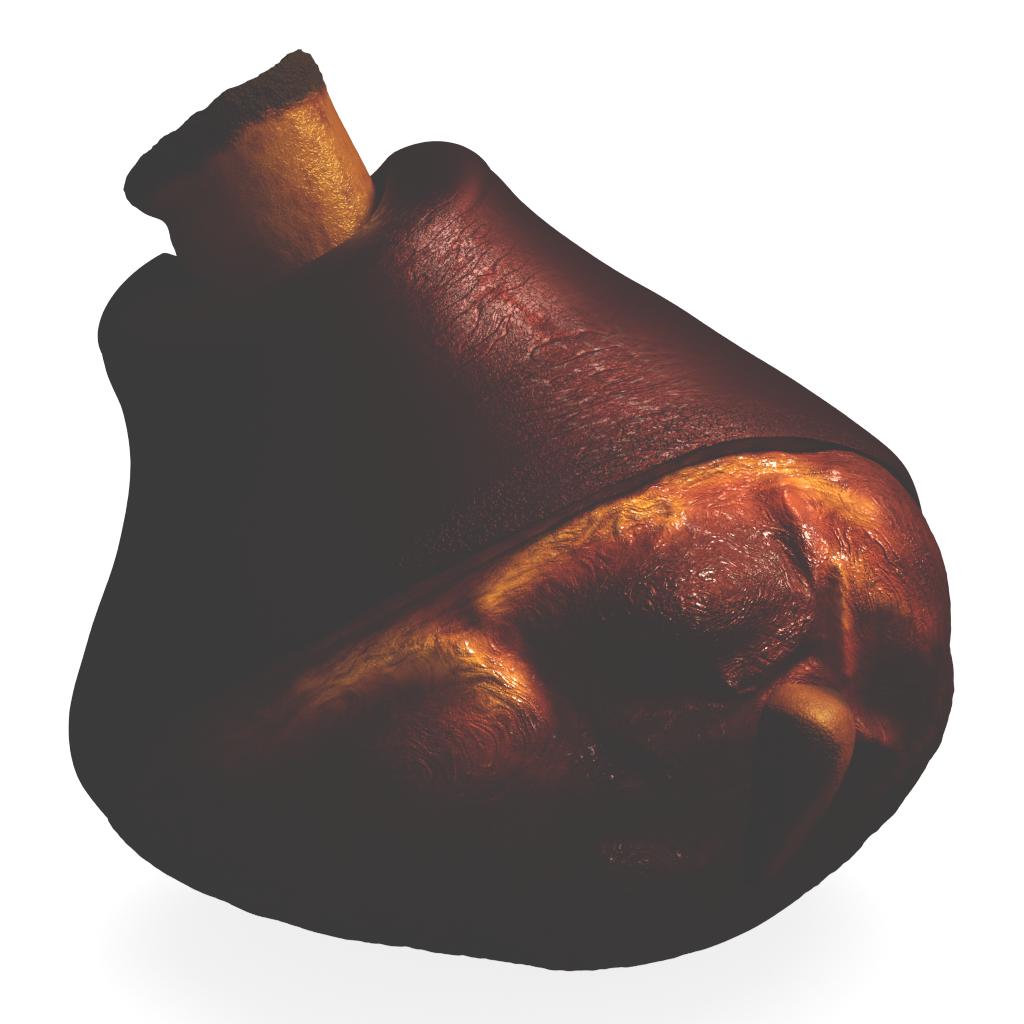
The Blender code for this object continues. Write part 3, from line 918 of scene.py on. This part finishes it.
# Furrows are (mm across, mm along, width of the furrows, bend); bumps are (strength, height in mm).
rindLook = {
    "dark": (0.006, 0.0016, 0.0020),
    # red and warm are painted only on the side the key light falls on (painted light)
    "red": (0.044, 0.0024, 0.0010),
    "warm": (0.110, 0.0130, 0.0025),
    # the back's lighter red-brown stands in for light that does not reach it (painted light)
    "rear": (0.20, 0.045, 0.018),
    "roughness": (0.46, 0.40),   # away from the creased side, on it
    "glaze": 0.73,
    "surface": {"Specular IOR Level": 0.42, "Specular Tint": (1.0, 0.06, 0.008, 1), "Coat Roughness": 0.46},
    "grain": (0.9, 0.5, 0.09, 0.9),
    "grainBump": (0.6, 0.07),
    "folds": (13.0, 2.3, 0.032, 0.3),
    "foldsBump": (0.6, 0.15),
    "dashes": (3.6, 0.6, 0.14, 0.6),
    "dashesBump": (0.4, 0.1),
    "specksBump": (1.0, 0.35),
}


# Dark rind, painted redder on the side the key light falls on (painted light), painted darker in the furrows
# there (painted shade)
# # and painted a lighter brown on the back in place of light, under a glaze that shines in grained patches
# between the folds near the neck, in short dashes lower down, and in specks along the edge.
def rindFinish():
    look = rindLook
    material, tree, shader = newMaterial("smokedRind")
    leg = legPattern(tree)
    crown, sheen, upper, rear, edge = (
        attribute(tree, name) for name in ("crown", "sheen", "upper", "rear", "band")
    )
    grain, folds, dashes = (furrows(tree, "slant", look[name]) for name in ("grain", "folds", "dashes"))

    # Painted light: red and warm go only on the side the key light falls on.
    paintedLitSide = product(tree, crown, spread(tree, upper, 0.0, 1.0, 0.45, 1.0))
    patches = spread(tree, noise(tree, leg, 0.07, 3, 0.55), 0.38, 0.62, 0.25, 0.9)
    mottle = spread(tree, noise(tree, leg, 0.6, 3, 0.6), 0.5, 0.75)
    # Painted light: the back is mottled a lighter brown in place of light that does not reach it.
    paintedBackLight = spread(tree, noise(tree, leg, 0.12, 4, 0.6), 0.3, 0.65, 0.3, 1.0)
    tone = layered(tree, look["dark"], (
        (product(tree, patches, paintedLitSide), look["red"]),
        (product(tree, mottle, paintedLitSide), look["warm"]),
        (product(tree, paintedBackLight, rear), look["rear"]),
    ))
    # Painted shade: on the shiny side the base goes dark in the furrows of the grain and folds.
    paintedFurrowShade = spread(tree, product(tree, grain, folds, sheen), 0.0, 1.0, 0.7, 1.0)

    scales = spread(tree, noise(tree, flowPattern(tree, "slant", 8.0, 3.4), 1.0, 2, 0.5, 0.6), 0.43, 0.5)
    neckShine = product(tree, grain, folds, spread(tree, scales, 0.0, 1.0, 0.03, 1.0), sheen)
    dabs = noise(tree, flowPattern(tree, "slant", 2.8, 0.5), 1.0, 2, 0.6)
    lowShine = product(tree, spread(tree, dabs, 0.56, 0.62, 0.0, 2.8), spread(tree, crown, 0.08, 0.36))
    specks = product(tree, edge, spread(tree, noise(tree, leg, 1.5, 2, 0.5), 0.52, 0.62))
    blend = node(tree, "ShaderNodeMix", {0: upper, 2: lowShine, 3: neckShine}, data_type="FLOAT")
    shine = maths(tree, "MAXIMUM", product(tree, blend.outputs[0], crown), specks)
    smooth = product(tree, spread(tree, folds, 0.0, 1.0, 0.6, 1.0), crown)
    giveBumps(tree, shader, (
        (product(tree, dashes, crown), look["dashesBump"]),
        (product(tree, folds, sheen), look["foldsBump"]),
        (product(tree, grain, sheen), look["grainBump"]),
        (specks, look["specksBump"]),
    ))
    feed(tree, shader, look["surface"] | {
        "Base Color": mixColour(tree, paintedFurrowShade, look["dark"], tone),
        "Roughness": spread(tree, smooth, 0.0, 1.0, *look["roughness"]),
        "Coat Weight": product(tree, shine, look["glaze"]),
    })
    return material


meatLook = {
    "dark": (0.018, 0.0030, 0.0026),
    "red": (0.046, 0.0050, 0.0022),
    "glow": (0.28, 0.044, 0.0050),
    "fat": (0.88, 0.36, 0.030),
    "roughness": (0.6, 0.36),   # in the furrows, between them
    "surface": {
        "Specular IOR Level": 0.9,
        "Specular Tint": (1.0, 0.16, 0.04, 1),
        "Coat Roughness": 0.28,
        "Coat IOR": 1.85,
    },
    "streaks": 0.24,            # how fine the streaks in the colours are
    "fibres": (3.6, 0.95, 0.16, 0.7),
    "fibresBump": (0.8, 0.26),
    "curls": (0.75, 0.1, 1.4),  # scale, width, bend
    "curlsBump": (0.6, 0.16),
}


# The leg's coordinates with the flow for a third, so that streaks run along the wrinkles.
def streakPattern(tree, scale):
    split = node(tree, "ShaderNodeSeparateXYZ", {0: legPattern(tree, (scale,) * 3)}).outputs
    inputs = {"X": split["X"], "Y": maths(tree, "ADD", split["Y"], split["Z"]), "Z": attribute(tree, "flow")}
    return node(tree, "ShaderNodeCombineXYZ", inputs).outputs[0]


# Dark red meat with glowing and fatty streaks, under a film whose wet places shine between the wrinkles.
def meatFinish():
    look = meatLook
    material, tree, shader = newMaterial("smokedMeat")
    leg = legPattern(tree)
    patches = spread(tree, noise(tree, leg, 0.09, 3, 0.6), 0.35, 0.62)
    streaky = noise(tree, streakPattern(tree, look["streaks"]), 0.8, 3, 0.6, 0.5)
    glow = product(tree, attribute(tree, "glow"), spread(tree, streaky, 0.3, 0.6, 0.35, 1.0))
    fat = product(tree, attribute(tree, "fat"), spread(tree, streaky, 0.35, 0.62, 0.25, 1.0))
    tone = layered(tree, look["dark"], ((patches, look["red"]), (glow, look["glow"]), (fat, look["fat"])))
    fibres = furrows(tree, "flow", look["fibres"])
    curls = worms(tree, leg, *look["curls"])
    film = product(tree, fibres, curls)
    wetness = spread(tree, attribute(tree, "wet"), 0.1, 0.8, 0.1, 1.0)
    wrinkled = spread(tree, wetness, 0.0, 1.0, 0.3, 1.0)
    giveBumps(tree, shader, (
        (product(tree, fibres, wrinkled), look["fibresBump"]),
        (product(tree, curls, wrinkled), look["curlsBump"]),
    ))
    feed(tree, shader, look["surface"] | {
        "Base Color": tone,
        "Roughness": spread(tree, film, 0.0, 1.0, *look["roughness"]),
        "Coat Weight": product(tree, spread(tree, film, 0.3, 0.9), wetness),
    })
    return material


boneLook = {
    "gold": (0.235, 0.082, 0.0065),
    "brown": (0.12, 0.024, 0.003),
    # burnt: the black of the saw cut, and on the joint the painted shade away from its lit band
    "burnt": (0.003, 0.0020, 0.0018),
    "sponge": (0.040, 0.018, 0.009),
    # glaze: dried meat juice, and also painted shade on the shank's left side and on the joint away from its
    # lit band
    "glaze": (0.17, 0.028, 0.0060),
    "roughness": (0.33, 0.85),        # clean, charred
    "surface": {"Specular IOR Level": 0.55, "Specular Tint": (1.0, 0.60, 0.10, 1)},
    "stain": (0.3, 0.3, 0.14),        # how fine the stains are round, across and down the bone
    "pebbles": (1.25, 0.14, 0.8),     # scale, width, bend
    "pebblesBump": (0.36, 0.1),
    "beads": 1.1,
    "beadsBump": (0.8, 0.3),
}


# Golden bone with brown stains and spongy in the middle; a red-brown glaze that is partly dried meat juice
# and partly painted shade (the shank's left side, the joint away from its lit band);
# # scorched and then black at the saw cut, and painted dark on the joint away from its lit band and ridge
# (painted shade).
def boneFinish():
    look = boneLook
    material, tree, shader = newMaterial("smokedBone")
    leg = legPattern(tree)
    char, glaze = attribute(tree, "char"), attribute(tree, "glaze")
    stain = spread(tree, noise(tree, legPattern(tree, look["stain"]), 1.0, 4, 0.6), 0.46, 0.7)
    tone = layered(tree, look["gold"], (
        (stain, look["brown"]),
        (glaze, look["glaze"]),
        # char: the real burn at the saw cut on the shank, and painted shade on the joint away from its lit
        # band and ridge
        (spread(tree, char, 0.0, 0.35), look["brown"]),
        (spread(tree, char, 0.3, 0.9), look["burnt"]),
        (attribute(tree, "sponge"), look["sponge"]),
    ))
    beads = product(tree, spread(tree, cells(tree, leg, look["beads"]), 0.0, 0.3), char)
    giveBumps(tree, shader, (
        (worms(tree, leg, *look["pebbles"]), look["pebblesBump"]),
        (beads, look["beadsBump"]),
    ))
    feed(tree, shader, look["surface"] | {
        "Base Color": tone,
        "Roughness": spread(tree, maths(tree, "MAXIMUM", char, glaze), 0.0, 1.0, *look["roughness"]),
    })
    return material


studio = {
    "lens": 300.0,
    "away": 1.333,           # m
    "farthest": 20.0,
    "height": 20.0,          # degrees above the horizon
    "aim": (35.0, -42.5),    # mm right and up from the neck to the middle of the view
    # surroundings: place between straight down (0) and straight up (1), brightness there
    "sky": ((0.38, 0.05), (0.58, 0.17), (0.95, 0.34)),
    "skyWhite": 0.93,        # what the camera itself sees
    "glossyShare": 0.08,     # how much of the surroundings shows in reflections
    # tone curve (from, to): black lifted as in a faded print, deep shadows pressed together
    "fade": ((0.0, 0.0422), (0.02, 0.0455), (0.1, 0.112), (0.4, 0.46)),
    # before it, red and blue alone: the deepest shadows keep a trace of maroon
    "redFade": ((0.0, 0.014), (0.01, 0.023), (0.03, 0.040), (0.08, 0.083), (0.15, 0.15), (0.5, 0.5)),
    "blueFade": ((0.0, 0.008), (0.03, 0.031), (0.08, 0.08), (0.5, 0.5)),
    # lamps: power, direction they shine from, size in m; the faint fill wakes glints in the shade
    "lamps": {
        "key": (20.0, (0.58, 0.19, 0.79), 0.5),
        "fill": (1.8, (0.59, -0.80, 0.16), 0.3),
    },
    "lampColour": (1.0, 0.84, 0.72),
    "lampAim": (0, 0, 0.07),
    "floorLight": 1.8,
    "floorLightFrom": (0.1, 0.2, 1.0),
    "floorLightSpread": 70,  # degrees
    "floorGrey": 0.5,
    "floorGlow": 0.82,
    "floorReach": 6.0,       # m each way
}


# A light 1 m from the aim that falls only on the things of its collection.
def linkedLight(name, lamp, direction, receivers):
    light = bpy.data.objects.new(name, lamp)
    light.location = Vector(studio["lampAim"]) + Vector(direction).normalized()
    light.rotation_euler = Vector(direction).to_track_quat("Z", "Y").to_euler()
    bpy.context.scene.collection.objects.link(light)
    group = bpy.data.collections.new(name + "Lights")
    for thing in receivers:
        group.objects.link(thing)
    light.light_linking.receiver_collection = group


# White to the camera; as light it is bright overhead and dims towards the horizon and below.
def makeSky():
    world = bpy.data.worlds.new("sky")
    bpy.context.scene.world = world
    world.use_nodes = True
    tree = world.node_tree
    way = node(tree, "ShaderNodeTexCoord").outputs["Generated"]
    upwards = node(tree, "ShaderNodeSeparateXYZ", {0: way}).outputs["Z"]
    ramp = node(tree, "ShaderNodeValToRGB", {"Fac": spread(tree, upwards, -1.0, 1.0)})
    steps = ramp.color_ramp.elements
    for i, (position, brightness) in enumerate(studio["sky"]):
        step = steps[i] if i < len(steps) else steps.new(position)
        step.position = position
        step.color = (brightness, brightness, brightness, 1)
    ray = node(tree, "ShaderNodeLightPath").outputs
    dimming = spread(tree, ray["Is Glossy Ray"], 0, 1, 1, studio["glossyShare"])
    inputs = {0: ramp.outputs["Color"], "Scale": dimming}
    dimmed = node(tree, "ShaderNodeVectorMath", inputs, operation="SCALE")
    seen = mixColour(tree, ray["Is Camera Ray"], dimmed.outputs[0], (studio["skyWhite"],) * 3)
    feed(tree, tree.nodes["Background"], {"Color": seen})


# A long lens that looks down at the aim from the given height and distance.
def makeCamera():
    scene = bpy.context.scene
    tilt = radians(studio["height"])
    upwards = np.array([0, sin(tilt), cos(tilt)])
    towards = np.array([0, -cos(tilt), sin(tilt)])
    right, up = studio["aim"]
    aim = (neck + np.array([right, 0, 0]) + upwards * up) * mm
    camera = bpy.data.objects.new("camera", bpy.data.cameras.new("camera"))
    camera.data.lens = studio["lens"]
    camera.data.clip_end = studio["farthest"]
    camera.location = aim + towards * studio["away"]
    camera.rotation_euler = (pi / 2 - tilt, 0, 0)
    scene.collection.objects.link(camera)
    scene.camera = camera


# The tone curves: red and blue each have one, and the fourth curve is for all three.
def fadeShadows():
    settings = bpy.context.scene.view_settings
    settings.view_transform = "Standard"
    settings.use_curve_mapping = True
    for channel, name in ((3, "fade"), (0, "redFade"), (2, "blueFade")):
        curve = settings.curve_mapping.curves[channel]
        curve.points[0].location = studio[name][0]
        for point in studio[name][1:]:
            curve.points.new(*point)
    settings.curve_mapping.update()


# A pale square that glows a little, so that shadows on it stay faint.
def makeFloor():
    far, grey = studio["floorReach"], studio["floorGrey"]
    mesh = bpy.data.meshes.new("floor")
    mesh.from_pydata([(-far, -far, 0), (far, -far, 0), (far, far, 0), (-far, far, 0)], [], [(0, 1, 2, 3)])
    paint, tree, shader = newMaterial("floorPaint")
    feed(tree, shader, {
        "Base Color": (grey, grey, grey, 1),
        "Emission Color": (1, 1, 1, 1),
        "Emission Strength": studio["floorGlow"],
        "Roughness": 0.9,
        "Specular IOR Level": 0.0,
    })
    mesh.materials.append(paint)
    floor = bpy.data.objects.new("floor", mesh)
    bpy.context.scene.collection.objects.link(floor)
    floor.visible_glossy = False
    floor.visible_diffuse = False
    return floor


# Tone curves, camera, sky, a sun for the floor alone, and the lamps for the pieces alone.
def makeStudio(pieces):
    fadeShadows()
    makeCamera()
    makeSky()
    sun = bpy.data.lights.new("floorSun", "SUN")
    sun.energy, sun.angle = studio["floorLight"], radians(studio["floorLightSpread"])
    linkedLight("floorSun", sun, studio["floorLightFrom"], [makeFloor()])
    for name, (power, direction, size) in studio["lamps"].items():
        lamp = bpy.data.lights.new(name, "AREA")
        lamp.shape, lamp.size = "DISK", size
        lamp.energy, lamp.color = power, studio["lampColour"]
        linkedLight(name, lamp, direction, pieces)


rind = makeRind(rindFinish())
print("rind made")
meat = makeMeat(meatFinish())
print("meat made")
bone = boneFinish()
shank = makeShankBone(bone)
joint = makeJointBone(bone)
print("bones made")
makeStudio([rind, meat, shank, joint])
print("studio made")
